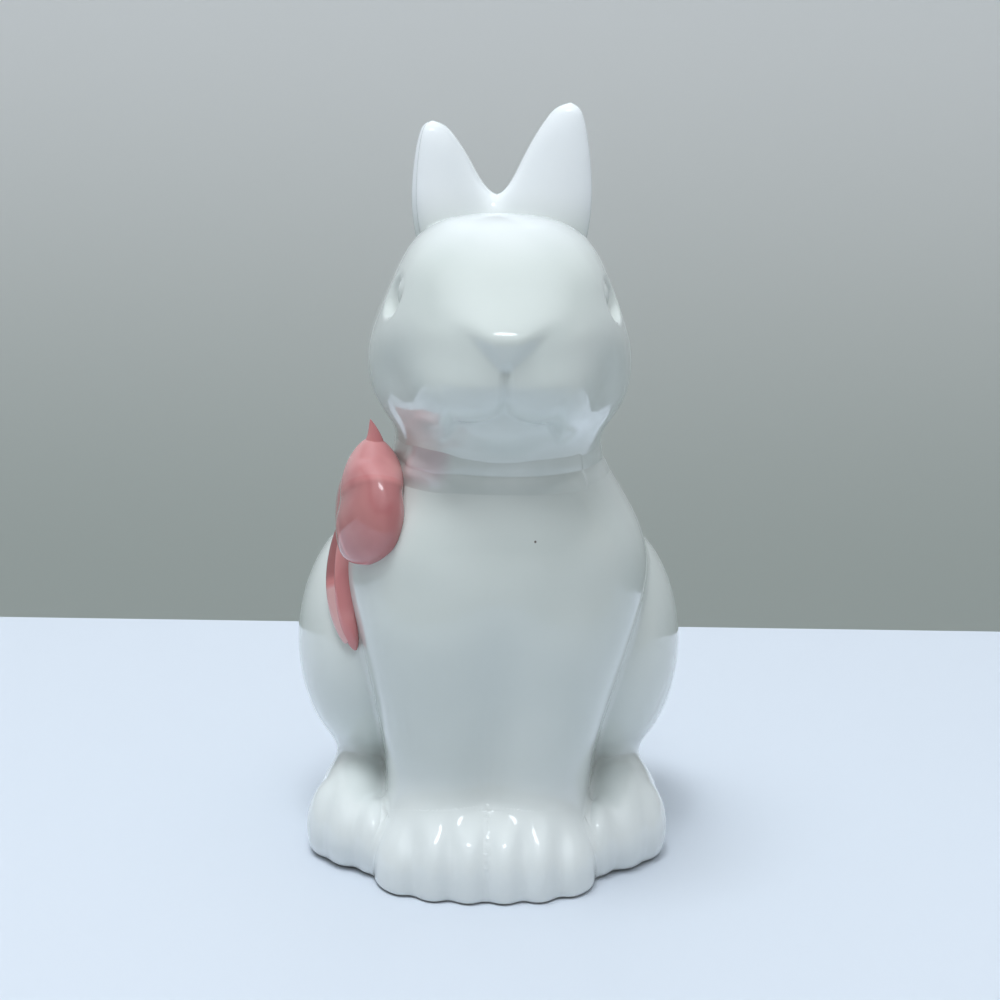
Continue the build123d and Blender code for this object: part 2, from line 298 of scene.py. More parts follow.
def newMaterial(name, values):
    # a principled shader with plain values on its own sockets
    material = bpy.data.materials.new(name)
    material.use_nodes = True
    tree = material.node_tree
    tree.nodes.clear()
    shader = addNode(tree, "ShaderNodeBsdfPrincipled", inputs=values)
    addNode(tree, "ShaderNodeOutputMaterial", inputs={"Surface": shader.outputs["BSDF"]})
    return material, tree, shader


def objectPlace(tree):
    # a point's place on the figure in metres, with its height by itself
    place = addNode(tree, "ShaderNodeTexCoord").outputs["Object"]
    return place, addNode(tree, "ShaderNodeSeparateXYZ", inputs={"Vector": place})


def noise(tree, place, scale, detail=2.0):
    settings = {"Vector": place, "Scale": scale, "Detail": detail}
    return addNode(tree, "ShaderNodeTexNoise", inputs=settings).outputs["Fac"]


def ramp(tree, value, low, high, start=0.0, end=1.0):
    # carries a value from one range to another and stops at its ends
    smooth = {"interpolation_type": "SMOOTHSTEP"}
    settings = {"From Min": low, "From Max": high, "To Min": start, "To Max": end, "Value": value}
    return addNode(tree, "ShaderNodeMapRange", smooth, settings).outputs["Result"]


def blend(tree, share, first, second):
    mix = addNode(tree, "ShaderNodeMix", {"data_type": "RGBA"}, {0: share, 6: first, 7: second})
    return mix.outputs[2]


def glazeRelief(tree, shader, place, depth):
    # the glaze pools a little unevenly, so highlights waver, and has a faint orange peel
    wave = {"Height": noise(tree, place, 70.0), "Strength": 1.0, "Distance": depth}
    waved = addNode(tree, "ShaderNodeBump", inputs=wave).outputs["Normal"]
    peel = {"Height": noise(tree, place, 900.0), "Strength": 1.0, "Distance": depth * 0.02, "Normal": waved}
    tree.links.new(addNode(tree, "ShaderNodeBump", inputs=peel).outputs["Normal"], shader.inputs["Normal"])
    rough = ramp(tree, noise(tree, place, 35.0), 0.3, 0.7, glaze["low"], glaze["high"])
    tree.links.new(rough, shader.inputs["Roughness"])


glaze = {
    "white": "#D2D9D5",
    "whiteThin": "#DAE0DC",
    # painted light: a paler white for the ears and the lower figure, standing in for the light they catch
    "paintedLight": "#F4F8FA",
    "speck": "#6A625E",
    "biscuit": "#CFC9BE",
    "pink": "#CC7F80",
    "pinkThin": "#D99492",
    # pale pink where the glaze breaks over an edge, also used on the bow as painted light on lit faces
    "edge": "#E2CFCD",
    # painted shade: a darker pink for faces of the bow that turn away from the light
    "paintedShade": "#9C5F60",
    "tint": "#D9C9CC",
    "low": 0.06,
    "high": 0.13,
    "wave": 0.00025,
    # heights where the painted light starts on the ears and stops on the paws, and its strength on the paws
    "earsLitFrom": (0.138, 0.154),
    "pawsLitTo": (0.01, 0.032),
    "pawLightShare": 0.55,
}
gloss = {"IOR": 1.5, "Coat Weight": 0.6, "Coat Roughness": 0.03, "Coat IOR": 1.5}
speck = {"x": 7.6, "height": 80.1, "size": 0.34}


def whiteGlaze():
    # clear gloss glaze over white body: cool white, paler in patches where it ran thin, painted light that
    # makes the ears and paws paler, one iron speck on the chest, and bare matt biscuit on the foot that
    # stands on the shelf
    material, tree, shader = newMaterial("white_ceramic_gloss_glaze", gloss)
    place, parts = objectPlace(tree)
    thin = ramp(tree, noise(tree, place, 22.0), 0.35, 0.65)
    colour = blend(tree, thin, linear(glaze["white"]), linear(glaze["whiteThin"]))
    # painted light: everything above the crown, the ears and the top of the head, is painted paler
    ears = ramp(tree, parts.outputs["Z"], *glaze["earsLitFrom"])
    colour = blend(tree, ears, colour, linear(glaze["paintedLight"]))
    # painted light: paws, feet and the lower figure are painted paler close to the table
    paws = ramp(tree, parts.outputs["Z"], *glaze["pawsLitTo"], glaze["pawLightShare"], 0.0)
    colour = blend(tree, paws, colour, linear(glaze["paintedLight"]))
    minus = {"operation": "SUBTRACT"}
    across = addNode(tree, "ShaderNodeMath", minus, {0: parts.outputs["X"], 1: speck["x"] * mm})
    upward = addNode(tree, "ShaderNodeMath", minus, {0: parts.outputs["Z"], 1: speck["height"] * mm})
    behind = ramp(tree, parts.outputs["Y"], -0.004, 0.0, 0.0, 0.01)
    offset = {"X": across.outputs["Value"], "Y": upward.outputs["Value"], "Z": behind}
    away = addNode(tree, "ShaderNodeCombineXYZ", inputs=offset)
    away = addNode(tree, "ShaderNodeVectorMath", {"operation": "LENGTH"}, {0: away.outputs["Vector"]})
    spot = ramp(tree, away.outputs["Value"], speck["size"] * mm * 0.5, speck["size"] * mm, 1.0, 0.0)
    colour = blend(tree, spot, colour, linear(glaze["speck"]))
    bare = ramp(tree, parts.outputs["Z"], 0.0001, 0.0006, 1.0, 0.0)
    tree.links.new(blend(tree, bare, colour, linear(glaze["biscuit"])), shader.inputs["Base Color"])
    glazeRelief(tree, shader, place, glaze["wave"])
    return material


def edgedGlazeWithPaintedLight(name, main, thin, edge, paintedShade):
    # a coloured gloss glaze set by each piece's tone attribute: above zero, up to 1, it pales to the edge
    # colour, below zero, down to -1, it darkens to painted shade; the bow uses the pale side for glaze
    # breaking over edges and for painted light
    material, tree, shader = newMaterial(name, gloss)
    place, _ = objectPlace(tree)
    colour = blend(tree, ramp(tree, noise(tree, place, 90.0), 0.35, 0.7), linear(main), linear(thin))
    tone = addNode(tree, "ShaderNodeAttribute", {"attribute_name": "tone"}).outputs["Fac"]
    # painted shade: where the tone falls below zero the colour darkens
    colour = blend(tree, ramp(tree, tone, -1.0, 0.0, 1.0, 0.0), colour, linear(paintedShade))
    # above zero the colour pales: on the bow a real break over edges and painted light on lit faces, on the
    # ribbon its pink tint
    colour = blend(tree, ramp(tree, tone, 0.0, 1.0), colour, linear(edge))
    tree.links.new(colour, shader.inputs["Base Color"])
    glazeRelief(tree, shader, place, glaze["wave"])
    return material


white = whiteGlaze()
pinkTones = glaze["pink"], glaze["pinkThin"], glaze["edge"], glaze["paintedShade"]
pink = edgedGlazeWithPaintedLight("pink_ceramic_gloss_glaze", *pinkTones)
ribbonTones = glaze["white"], glaze["whiteThin"], glaze["tint"], glaze["white"]
tinted = edgedGlazeWithPaintedLight("white_ribbon_gloss_glaze", *ribbonTones)

# Body: chest, shoulders, rump and forelegs as stacked sections

body = {"grooveDepth": 3.0, "grooveWidth": 5.5, "rings": 280, "around": 320}
bodyLow, bodyHigh = boxOf("body_shell")
seam = bodyHigh[2]
# shares of the height, half width, front and back, then squareness and groove
torsoShares = np.array(
    [
        (0.000, 0.620, 0.850, 0.780, 2.6, 0.3),
        (0.040, 0.665, 0.895, 0.880, 2.9, 0.6),
        (0.160, 0.685, 0.920, 0.960, 3.1, 0.8),
        (0.330, 0.735, 0.940, 1.000, 3.1, 0.9),
        (0.480, 0.845, 0.975, 0.980, 2.9, 0.6),
        (0.610, 0.940, 1.000, 0.910, 2.6, 0.2),
        (0.725, 1.000, 0.985, 0.800, 2.2, 0.0),
        (0.835, 0.935, 0.920, 0.670, 2.2, 0.0),
        (0.925, 0.800, 0.810, 0.540, 2.1, 0.0),
        (1.000, 0.680, 0.690, 0.430, 2.1, 0.0),
    ]
)
torsoSizes = (seam, bodyHigh[0], -bodyLow[1], bodyHigh[1])
torsoSquare = torsoShares[:, 4]
torsoGroove = torsoShares[:, 5] * body["grooveDepth"]
torsoRows = np.column_stack([torsoShares[:, :4] * torsoSizes, torsoSquare, torsoSquare, torsoGroove])
torso = smoothRows(torsoRows, body["rings"])
torsoField = rowField(torso, body["grooveWidth"])

# Head: stacked sections from the neck seam to the crown, with the face fused on

head = {
    "front": 41.0,
    "rows": 330,
    "around": 290,
    "lobe": (6.8, -29.4, 20.6),
    "lobeRadii": (11.0, 11.6, 8.0),
    "lobeJoin": 4.0,
    "lobeCleft": (14.0, 20.0),
    "lobeEdge": 0.6,
    "lobeRun": 9.4,
    "softUp": (15.0, 23.0),
    "softOut": (9.0, 14.0),
    "chin": (0, -25.0, 12.0),
    "chinRadii": (7.0, 8.0, 5.0),
    "chinJoin": 6.0,
    "faceBack": -20.0,
    "noseTip": 25.6,
    "noseTop": 32.4,
    "bridgeTop": 43.0,
    "noseHalf": 6.0,
    "bridgeHalf": 15.0,
    "noseProud": 2.1,
    "noseRidge": 0.34,
    "noseShare": 0.85,
    "lip": 1.0,
    "lipHalf": 0.9,
    "lipLow": (15.0, 18.0),
    "lipHigh": (25.0, 28.0),
    "socket": (25.0, -13.6, 38.4),
    "socketRadii": (2.5, 5.8, 5.4),
    "eye": (21.1, -13.0, 38.2),
    "eyeRadii": (2.5, 4.4, 4.0),
    "socketRim": 1.6,
    "eyeRim": 0.5,
}
headLow, headHigh = boxOf("head_shell")
headShares = np.array(
    [
        (0.110, 0.800, 0.700, 0.840, 2.1, 2.1),
        (0.180, 0.880, 0.765, 0.880, 2.0, 2.1),
        (0.260, 0.960, 0.855, 0.940, 1.9, 2.2),
        (0.370, 1.000, 0.910, 0.980, 1.8, 2.2),
        (0.490, 0.980, 0.950, 1.000, 1.95, 2.2),
        (0.600, 0.915, 0.962, 1.000, 2.1, 2.2),
        (0.710, 0.835, 0.850, 0.960, 2.2, 2.1),
        (0.820, 0.745, 0.685, 0.820, 2.3, 2.1),
        (0.910, 0.620, 0.510, 0.580, 2.1, 2.0),
        (0.970, 0.430, 0.360, 0.310, 2.0, 2.0),
        (1.000, 0.020, 0.020, 0.008, 2.0, 2.0),
    ]
)
headSizes = (headHigh[2] - seam, headHigh[0], head["front"], headHigh[1])
headLevels = headShares[:, :4] * headSizes + [seam, 0, 0, 0]
headRows = np.column_stack([headLevels, headShares[:, 4:], 0 * headShares[:, 0]])
headTable = smoothRows(np.vstack([torsoRows[-1:], headRows]), 300)
headCentre = (0, -6, seam + 24)
skullField = starField(castGrid(rowField(headTable), headCentre, 70, 260, 260), headCentre)


def atHead(place):
    # a place given by its height above the seam
    return np.array(place) + [0, 0, seam]


lobeField = ballField(atHead(head["lobe"]), head["lobeRadii"])
chinField = ballField(atHead(head["chin"]), head["chinRadii"])
socketField = ballField(atHead(head["socket"]), head["socketRadii"])
eyeField = ballField(atHead(head["eye"]), head["eyeRadii"])


def noseSwell(x, up):
    # how far the nose stands out: a pad that widens from its tip to the ridge at its top, and
    # the bridge that runs up from there into the forehead
    tip, top, end = head["noseTip"], head["noseTop"], head["bridgeTop"]
    half = np.interp(up, [tip, top, end], [0.6, head["noseHalf"], head["bridgeHalf"]])
    pad = (up - tip) / (top - tip)
    bridge = np.maximum((end - up) / (end - top), 0) ** 1.6
    height = np.maximum(fuse(pad, bridge, head["noseRidge"]), 0)
    power = 4 - 2 * rise(up, top - 1, top + 6)
    return head["noseProud"] * height * np.exp(-(np.abs(x / half) ** power))


def headField(p):
    # skull, two lobes that run softly into the cheeks and end crisply only under the mouth,
    # the groove of the lip, chin, nose that grows out of the bridge, and eyes in the sides
    q = folded(p)
    up = p[..., 2] - seam
    face = p[..., 1] < head["faceBack"]
    swell = np.where(face, noseSwell(p[..., 0], up), 0)
    cleft = head["lobeJoin"] * rise(up, *head["lobeCleft"]) + 0.1
    lobes = fuse(lobeField(p), lobeField(p * [-1, 1, 1]), cleft)
    soft = np.maximum(rise(up, *head["softUp"]), rise(q[..., 0], *head["softOut"]))
    total = fuse(skullField(p), chinField(p), head["chinJoin"])
    total = fuse(total, lobes, head["lobeEdge"] + head["lobeRun"] * soft)
    lipSpan = rise(up, *head["lipLow"]) * (1 - rise(up, *head["lipHigh"])) * face
    groove = np.exp(-((q[..., 0] / head["lipHalf"]) ** 2)) * lipSpan
    total = total + head["lip"] * groove - head["noseShare"] * swell
    total = common(total, -socketField(q), head["socketRim"])
    return fuse(total, eyeField(q), head["eyeRim"])


# Haunches, paws, feet and tail

haunch = {
    "radii": (19.2, 31.0, 29.6),
    "left": (26.0, 13.0, 44.8),
    "right": (27.4, 13.0, 44.8),
    "rows": 180,
    "around": 220,
}
forepaw = {
    "centre": (0.0, -32.0, 3.6),
    "radii": (25.2, 16.0, 13.2),
    "fullness": 2.45,
    "creases": (0.0, 8.2, 16.4),
    "creaseDepth": 1.6,
    "creaseWidth": 2.3,
    "creaseUp": (11.0, 19.0),
    "creaseFront": (34.0, 43.0),
    "seam": 0.4,
    "middle": (12.0, -33.0, 4.0),
    "rows": 130,
    "around": 210,
}
hindFoot = {
    "instep": (31.0, -5.0, 6.6),
    "instepRadii": (10.0, 24.0, 13.4),
    "toeRadii": (5.4, 9.6, 9.4),
    "firstToe": (36.8, -13.0, 6.2),
    "toeStep": (-5.6, -5.2, 0.0),
    "soft": 2.2,
    "middle": (31.0, -8.0, 4.0),
    "rows": 130,
    "around": 210,
}
tail = {"radii": (10.0, 9.0, 10.5), "height": 17.0, "sink": 3.0, "rows": 80, "around": 120}
floorEdge = 1.6  # rounding where paws and feet meet the table
haunchBall = {side: ballField(haunch[side], haunch["radii"]) for side in ("left", "right")}
pawBall = ballField(forepaw["centre"], forepaw["radii"], forepaw["fullness"])


def cushionField(p):
    # both paws: a cushion cut level at the table, with creases between the toes that fade out
    # upwards
    x, y, z = p[..., 0], p[..., 1], p[..., 2]
    offsets = [(np.abs(x) - place) / forepaw["creaseWidth"] for place in forepaw["creases"]]
    dips = sum(np.exp(-(offset**2)) for offset in offsets)
    fade = (1 - rise(z, *forepaw["creaseUp"])) * rise(-y, *forepaw["creaseFront"])
    total = pawBall(p) + forepaw["creaseDepth"] * dips * fade
    return common(total, -z, floorEdge)


def pawField(p):
    return common(cushionField(p), -p[..., 0], forepaw["seam"])


toePlaces = np.array(hindFoot["firstToe"]) + np.arange(3)[:, None] * np.array(hindFoot["toeStep"])
footParts = [ballField(hindFoot["instep"], hindFoot["instepRadii"])]
footParts += [ballField(place, hindFoot["toeRadii"]) for place in toePlaces]


def footField(p):
    # instep and toes run softly together, cut level at the table
    total = footParts[0](p)
    for toe in footParts[1:]:
        total = fuse(total, toe(p), hindFoot["soft"])
    return common(total, -p[..., 2], floorEdge)


tailCentre = (0, bodyHigh[1] + tail["sink"], tail["height"])
tailField = ballField(tailCentre, tail["radii"])

# Ears: level sections along a leaning line, hollow on the outer side

ear = {
    "left": {"halfWidth": 11.8, "tipSpread": 15.4, "turn": 0.0},
    "right": {"halfWidth": 11.0, "tipSpread": 16.4, "turn": 14.0},
    "halfDepth": 6.4,
    "rootHeight": 40.0,
    "rootSpread": 9.6,
    "back": (11.0, 14.5),
    "hollow": 3.4,
    "gather": 3.2,
    "rings": 150,
    "around": 170,
}
# shares of the length, half width and half depth
earShares = np.array(
    [
        (0.00, 0.86, 0.94),
        (0.13, 0.96, 1.00),
        (0.30, 1.00, 0.98),
        (0.47, 0.94, 0.90),
        (0.63, 0.80, 0.78),
        (0.78, 0.62, 0.64),
        (0.90, 0.43, 0.47),
        (0.97, 0.25, 0.28),
        (1.00, 0.01, 0.01),
    ]
)


def earForm(side):
    # grid and field of an ear at +X, as long as its CAD node: ovals along a leaning line, each
    # dipped where it faces outwards and turned a little to the front
    root = seam + ear["rootHeight"]
    length = boxOf(side + "_ear")[1][2] - root
    width, turn = ear[side]["halfWidth"], math.radians(ear[side]["turn"])
    rows = smoothRows(earShares * (length, width, ear["halfDepth"]), ear["rings"])
    share = rows[:, :1] / length
    spread = ear["rootSpread"] + (ear[side]["tipSpread"] - ear["rootSpread"]) * share
    back = ear["back"][0] + (ear["back"][1] - ear["back"][0]) * share
    angle = np.linspace(0, 2 * np.pi, ear["around"], endpoint=False)

    def dip(angle, halfWidth):
        return ear["hollow"] * np.exp(-((np.sin(angle / 2) * ear["gather"]) ** 2)) * halfWidth / width

    u, v = rows[:, 1:2] * np.cos(angle) - dip(angle, rows[:, 1:2]), rows[:, 2:] * np.sin(angle)
    x = spread + u * math.cos(turn) + v * math.sin(turn)
    y = back - u * math.sin(turn) + v * math.cos(turn)
    points = np.stack([x, y, root + rows[:, :1] + 0 * x], -1)
    table = np.column_stack([root + rows[:, 0], np.maximum(rows[:, 1:], 0.02), spread, back])
    table = table[np.argsort(table[:, 0])]

    def field(p):
        w, d, cx, cy = (np.interp(p[..., 2], table[:, 0], column) for column in table.T[1:])
        x, y = p[..., 0] - cx, p[..., 1] - cy
        u, v = x * math.cos(turn) - y * math.sin(turn), x * math.sin(turn) + y * math.cos(turn)
        u = u + dip(np.arctan2(v / d, u / w), w)
        k = np.sqrt((u / w) ** 2 + (v / d) ** 2) + 1e-6
        slope = np.sqrt((u / w**2) ** 2 + (v / d**2) ** 2) + 1e-6
        return np.maximum(k * (k - 1) / slope, p[..., 2] - table[-1, 0])

    return points, field


leftEarPoints, leftEarField = earForm("left")
rightEarPoints, rightEarField = earForm("right")


def mirrorField(field):
    def other(p):
        return field(p * [-1, 1, 1])

    return other


def sided(field):
    def both(p):
        return field(folded(p))

    return both


print("forms ready")

# The white pieces, each settled onto its neighbours with the glaze's fillet

fillet = {
    "haunch": 1.6,
    "paw": 10.0,
    "foot": 2.4,
    "ankle": 6.0,
    "tail": 3.0,
    "ear": 1.0,
    "notch": 9.5,
    "pawFoot": 2.0,
    "pawPaw": 0.8,
}
drain = {"radius": 8.0, "back": 14.0, "depth": 40.0, "edge": 0.8}


def bothHaunches(p):
    return np.minimum(haunchBall["left"](p), haunchBall["right"](p * [-1, 1, 1]))


def earPair(p):
    return fuse(leftEarField(p), rightEarField(p * [-1, 1, 1]), fillet["notch"])


bodyPoints = settle(
    rowGrid(torso, body["around"], body["grooveWidth"]),
    torsoField,
    [
        (bothHaunches, fillet["haunch"]),
        (cushionField, fillet["paw"]),
        (sided(footField), fillet["foot"]),
        (tailField, fillet["tail"]),
    ],
)
# the foot ring ends in the drain hole, a round tube that runs up into the dark of the casting
turns = np.linspace(0, 2 * np.pi, body["around"], endpoint=False)
drainRings = np.array([(1, drain["depth"]), (1, drain["edge"]), (1 + drain["edge"] / drain["radius"], 0)])
ringX = drain["radius"] * drainRings[:, :1] * np.cos(turns)
ringY = drain["back"] + drain["radius"] * drainRings[:, :1] * np.sin(turns)
bodyPoints[0, :, 2] = 0
bodyPoints = np.vstack([np.stack([ringX, ringY, drainRings[:, 1:] + 0 * turns], -1), bodyPoints])
gridPiece("body", stance(bodyPoints), "body_shell", white)
print("body done")

headPoints = castGrid(headField, headCentre, 80, head["rows"], head["around"])
headStar = starField(headPoints, headCentre)
headSettled = settle(headPoints, headStar, [(earPair, fillet["ear"])])
gridPiece("head", headSettled, "head_shell", white)
print("head done")

onHead = (headStar, fillet["ear"])
leftEar = settle(leftEarPoints, leftEarField, [(mirrorField(rightEarField), fillet["notch"]), onHead])
rightEar = settle(rightEarPoints, rightEarField, [(mirrorField(leftEarField), fillet["notch"]), onHead])
gridPiece("ear_left", leftEar, "left_ear", white)
gridPiece("ear_right", mirrored(rightEar), "right_ear", white)
print("ears done")

pawPoints = castGrid(pawField, forepaw["middle"], 40, forepaw["rows"], forepaw["around"])
footPoints = castGrid(footField, hindFoot["middle"], 60, hindFoot["rows"], hindFoot["around"])
pawOthers = [
    (torsoField, fillet["paw"]),
    (footField, fillet["pawFoot"]),
    (mirrorField(pawField), fillet["pawPaw"]),
]
pawPoints = settle(pawPoints, pawField, pawOthers)
for side in ("left", "right"):
    ball = np.array(haunch[side]) + np.array(haunch["radii"]) * rays(haunch["rows"], haunch["around"])
    ball = settle(ball, haunchBall[side], [(torsoField, fillet["haunch"]), (footField, fillet["ankle"])])
    footOthers = [
        (torsoField, fillet["foot"]),
        (haunchBall[side], fillet["ankle"]),
        (pawField, fillet["pawFoot"]),
    ]
    foot = settle(footPoints, footField, footOthers)
    for part, points in (("haunch", ball), ("forepaw", pawPoints), ("hind_foot", foot)):
        points = points if side == "left" else mirrored(points)
        gridPiece(part + "_" + side, stance(points), side + "_" + part, white)
tailPoints = np.array(tailCentre) + np.array(tail["radii"]) * rays(tail["rows"], tail["around"])
tailSettled = settle(tailPoints, tailField, [(torsoField, fillet["tail"])])
gridPiece("tail", tailSettled, "tail", white)
print("limbs done")

# Ribbon and bow: strips laid over the skin of neck and shoulder

skinRows = np.vstack([torsoRows, headRows])


def skinPoint(angle, height, lift):
    # a point at an angle in degrees round the figure, lifted off its skin
    w, f, b, nf, nb = (np.interp(height, skinRows[:, 0], column) for column in skinRows.T[1:6])
    across, along = np.cos(np.radians(angle)), np.sin(np.radians(angle))
    power = 2 / np.where(along < 0, nf, nb)
    x = w * np.sign(across) * np.abs(across) ** power
    y = np.where(along < 0, f, b) * np.sign(along) * np.abs(along) ** power
    return np.stack([x + lift * across, y + lift * along, height + 0 * x], -1)


ribbon = {
    "drop": 7.0,
    "height": 13.0,
    "proud": 0.6,
    "rim": 0.48,
    "sink": 0.6,
    "lap": 318.0,
    "gather": 229.0,
    "gatherHalf": 15.0,
    "gatherLift": 2.0,
    "rows": 60,
    "around": 360,
}
# a band that swells out of the skin and sinks back at both edges, thinner behind its lap, with
# one soft gather beside the knot that carries a breath of the pink
along = np.linspace(0, 1, ribbon["rows"])[:, None]
angle = np.linspace(0, 360, ribbon["around"], endpoint=False)
swell = rise(along, 0, ribbon["rim"]) * rise(1 - along, 0, ribbon["rim"])
front = rise(angle, 185, 200) * (1 - rise(angle, ribbon["lap"] - 1.2, ribbon["lap"] + 1.2))
gather = np.exp(-(((angle - ribbon["gather"]) / ribbon["gatherHalf"]) ** 4)) * rise(along, 0.1, 0.6)
full = ribbon["sink"] + ribbon["proud"] * (0.4 + 0.6 * front) + ribbon["gatherLift"] * gather
lift = swell * full - ribbon["sink"]
band = skinPoint(angle + 0 * along, seam - ribbon["drop"] + ribbon["height"] * along, lift)
gridPiece("ribbon_band", band, "ribbon", tinted, 0.8 * gather + 0 * lift)


def laidGrid(strip):
    # ovals laid along a line over the skin, which is given by angle, height above the seam
    # and lift, each turned by a twist and fuller with a higher power
    table = smoothRows(strip["shares"], strip["rows"])
    share = np.clip(table[:, 0], 0, 1)
    path = np.array(strip["path"])
    laid = smoothRows(np.column_stack([path, skinPoint(path[:, 0], seam + path[:, 1], path[:, 2])]), 60)
    angle, line = laid[:, 0], laid[:, 3:]
    out = np.stack([np.cos(np.radians(angle)), np.sin(np.radians(angle)), 0 * angle], -1)
    at = np.linspace(0, 1, 60)
    curves = line, out, np.gradient(line, axis=0)
    centre, out, down = (
        np.stack([np.interp(share, at, column) for column in curve.T], -1) for curve in curves
    )
    down = unit(down)
    across = unit(np.cross(out, down))
    out = np.cross(down, across)
    twist = math.radians(strip["twist"])
    c, s = math.cos(twist), math.sin(twist)
    across, out = c * across - s * out, s * across + c * out
    turn = np.linspace(0, 2 * np.pi, strip["around"], endpoint=False)
    power = 2 / strip["fullness"]
    u = np.sign(np.cos(turn)) * np.abs(np.cos(turn)) ** power
    v = np.sign(np.sin(turn)) * np.abs(np.sin(turn)) ** power
    u, v = strip["half"][0] * table[:, 1:2] * u, strip["half"][1] * table[:, 2:] * v
    points = centre[:, None] + u[..., None] * across[:, None] + v[..., None] * out[:, None]
    return points, share[:, None], turn


bow = {
    "bow_knot": {
        "path": [(200.0, -3.0, 6.4), (200.5, 3.5, 6.0), (201.5, 9.6, 5.0)],
        "half": (3.0, 2.6),
        "twist": 0.0,
        "fullness": 2.0,
        "shares": [(0, 0.3, 0.4), (0.2, 0.92, 1), (0.45, 0.92, 0.94)]
        + [(0.7, 0.56, 0.6), (0.87, 0.28, 0.3), (1, 0.03, 0.03)],
        "tone": ((0, 1), (0, 0)),
        "rows": 60,
        "around": 72,
    },
    "bow_front_loop": {
        "path": [(200.0, 5.4, 6.2), (201.5, 0.0, 6.4), (206.5, -7.0, 3.6), (216.5, -21.4, 1.0)],
        "half": (11.0, 6.4),
        "twist": 0.0,
        "fullness": 2.3,
        "shares": [(0, 0.03, 0.04), (0.03, 0.24, 0.36), (0.08, 0.4, 0.6), (0.15, 0.55, 0.82)]
        + [(0.26, 0.72, 0.99), (0.36, 0.84, 1.03), (0.42, 0.9, 0.99), (0.47, 0.94, 0.94)]
        + [(0.54, 0.98, 0.95), (0.66, 1.0, 0.97), (0.82, 0.92, 0.8), (0.94, 0.64, 0.5), (1, 0.05, 0.04)],
        # painted light and shade: the upper dome is painted a little paler and the lower half darker, as
        # lit from above
        "tone": ((0, 0.4, 0.46, 1), (0.18, 0.18, -0.5, -0.5)),
        "rows": 150,
        "around": 140,
    },
    "bow_rear_loop": {
        "path": [(197.0, 1.0, 1.2), (188.0, -9.0, 2.4), (178.0, -18.5, 2.0)],
        "half": (7.8, 4.6),
        "twist": 0.0,
        "fullness": 2.2,
        "shares": [(0, 0.2, 0.4), (0.12, 0.5, 0.8), (0.3, 0.8, 1.0)]
        + [(0.6, 1, 0.9), (0.85, 0.8, 0.6), (1, 0.05, 0.05)],
        # painted shade: the rear loop is painted darker all along, as it lies in shade behind the front
        # loop
        "tone": ((0, 1), (-0.5, -0.5)),
        "rows": 90,
        "around": 90,
    },
    "bow_front_tail": {
        "path": [(197.0, -6.0, 1.6), (193.6, -20.0, 0.8), (195.2, -29.0, 1.0)]
        + [(196.4, -36.0, 1.6), (198.4, -43.4, 1.8)],
        "half": (2.5, 1.5),
        "twist": 45.0,
        "fullness": 2.6,
        "shares": [(0, 0.4, 0.5), (0.1, 0.8, 0.9), (0.45, 1, 1)]
        + [(0.75, 0.92, 0.9), (0.93, 0.6, 0.7), (1, 0.1, 0.1)],
        # painted light and shade: a touch paler down its length, then painted darker towards the tip
        "tone": ((0, 0.8, 1), (0, 0.1, -0.4)),
        "rows": 100,
        "around": 60,
    },
    "bow_rear_tail": {
        "path": [(195.0, -8.0, 1.8), (188.5, -20.0, 1.4), (189.5, -28.0, 2.2)]
        + [(193.0, -35.0, 3.0), (197.5, -41.5, 2.6)],
        "half": (3.0, 1.4),
        "twist": 40.0,
        "fullness": 2.4,
        "shares": [(0, 0.5, 0.6), (0.1, 0.85, 0.9), (0.5, 1, 1), (0.85, 0.84, 0.8), (1, 0.1, 0.1)],
        # painted shade on the upper part of the tail and a painted pale reflection on its lower part
        "tone": ((0, 0.58, 0.66, 1), (-0.8, -0.8, 0.45, 0.45)),
        "rows": 80,
        "around": 60,
    },
}
paleRim = {"tone": 0.8, "turn": 1.95, "half": 0.07, "from": (0.6, 0.72), "to": (0.88, 0.96)}
for name, strip in bow.items():
    points, share, turn = laidGrid(strip)
    # a pale line where the glaze thins along the lower outer edge of the front loop
    rim = paleRim["tone"] * np.exp(-(((turn - paleRim["turn"]) / paleRim["half"]) ** 2))
    rim = rim * rise(share, *paleRim["from"]) * (1 - rise(share, *paleRim["to"]))
    rim = rim * (name == "bow_front_loop")
    gridPiece(name + "_glazed", points, name, pink, np.interp(share, *strip["tone"]) + rim)
print("bow done")

# Stage: a pale table, a plain wall, one wide lamp overhead and a dim room

stage = {
    "tableBack": 0.178,
    "tableHalf": 1.2,
    "table": "#D6DDE7",
    "wallBack": 0.9,
    "wallHalf": 3.0,
    "wallFoot": -1.5,
    "wallTop": 2.5,
    "wallLow": "#BBC5C3",
    "wallHigh": "#E2E6E8",
}
light = {
    "room": 0.36,
    "roomColour": (1, 1, 0.96, 1),
    "colour": (0.9, 0.955, 1),
    "ceiling": 1.2,
    "ceilingHalf": 3.0,
    "height": 1.9,
    "front": 0.3,
    "tube": 8.0,
    "tubeFront": 0.48,
    "tubeNarrow": 3.5,
    "lamp": 15.0,
    "lampSize": (0.8, 0.5),
    "lampPlace": (-0.3, -0.22, 1.75),
}


def flatPiece(name, corners, place, material):
    mesh = bpy.data.meshes.new(name)
    mesh.from_pydata(corners, [], [(0, 1, 2, 3)])
    mesh.materials.append(material)
    thing = bpy.data.objects.new(name, mesh)
    thing.location = place
    bpy.context.collection.objects.link(thing)


half, back, wall = stage["tableHalf"], stage["tableBack"], stage["wallBack"]
tableTop = newMaterial("white_table_satin", {"Base Color": linear(stage["table"]), "Roughness": 0.5})[0]
tableCorners = [(-half, -half, 0), (half, -half, 0), (half, back, 0), (-half, back, 0)]
flatPiece("table", tableCorners, (0, 0, 0), tableTop)
